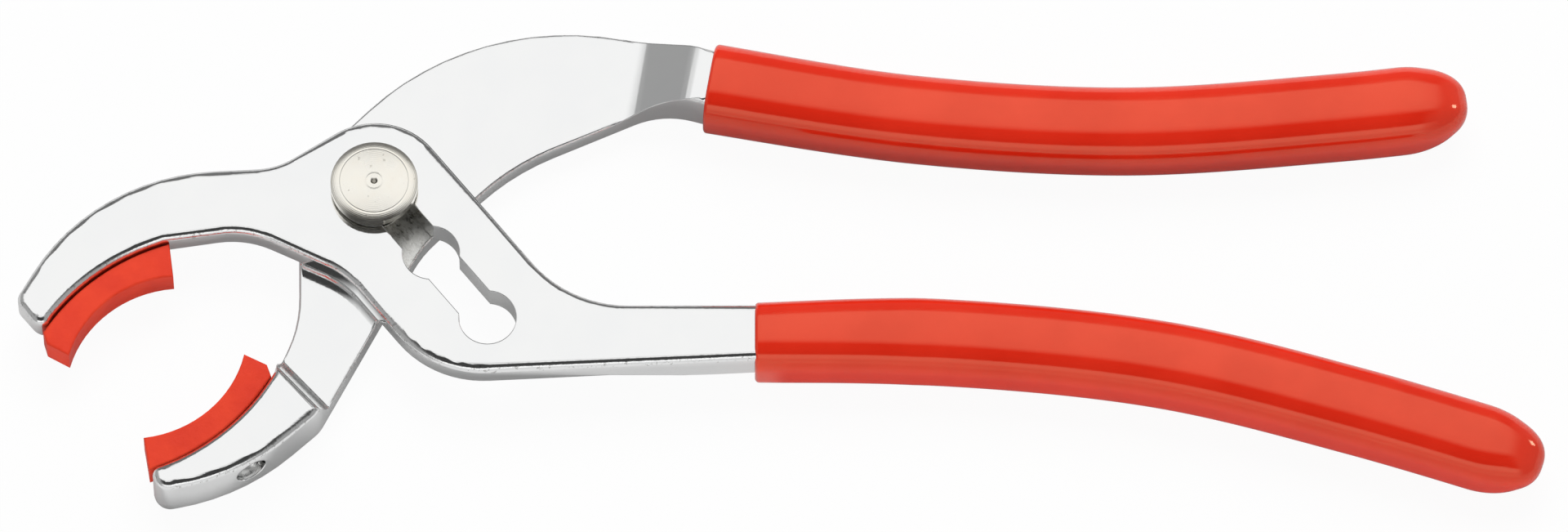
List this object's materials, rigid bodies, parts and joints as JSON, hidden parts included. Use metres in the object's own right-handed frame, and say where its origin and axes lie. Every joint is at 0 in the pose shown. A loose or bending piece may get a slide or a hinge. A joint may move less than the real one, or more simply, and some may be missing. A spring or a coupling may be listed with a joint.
{
  "type": "connector pliers",
  "caption": "Slip-joint pliers with offset handles and curved plastic jaw pads, for gripping and turning round cable connectors without marking them.",
  "frame": {"origin": "on the pivot axis, at the surface that the tool lies on with its back down", "axes": "+X from the jaws to the handles, +Y towards the upper handle, +Z out of the tool's front face"},
  "size_m": [0.2495, 0.0838, 0.0133],
  "materials": {
    "chrome": "bright chrome plate over a polished forging",
    "nickel": "warm nickel plate with fine turning marks",
    "steel": "plain bright steel",
    "pad": "moulded red plastic, satin",
    "grip": "dipped red vinyl, glossy"
  },
  "bodies": {
    "front": {"front_half": "chrome", "lower_grip": "grip", "upper_jaw_pad": "pad", "upper_pad_screw": "steel"},
    "slider": {"pivot_washer": "steel"},
    "rear": {"rear_half": "chrome", "pivot_bolt": "nickel", "pivot_nut": "steel", "upper_grip": "grip", "lower_jaw_pad": "pad", "lower_pad_screw": "steel"}
  },
  "joints": [
    {"name": "seat_slide", "type": "slide", "parent": "front", "child": "slider", "axis": [0.628, -0.7782, 0], "range_m": [0, 0.0298]},
    {"name": "jaw_hinge", "type": "hinge", "parent": "slider", "child": "rear", "pos_m": [0, 0, 0], "axis": [0, 0, 1], "range_deg": [-2, 40]}
  ]
}
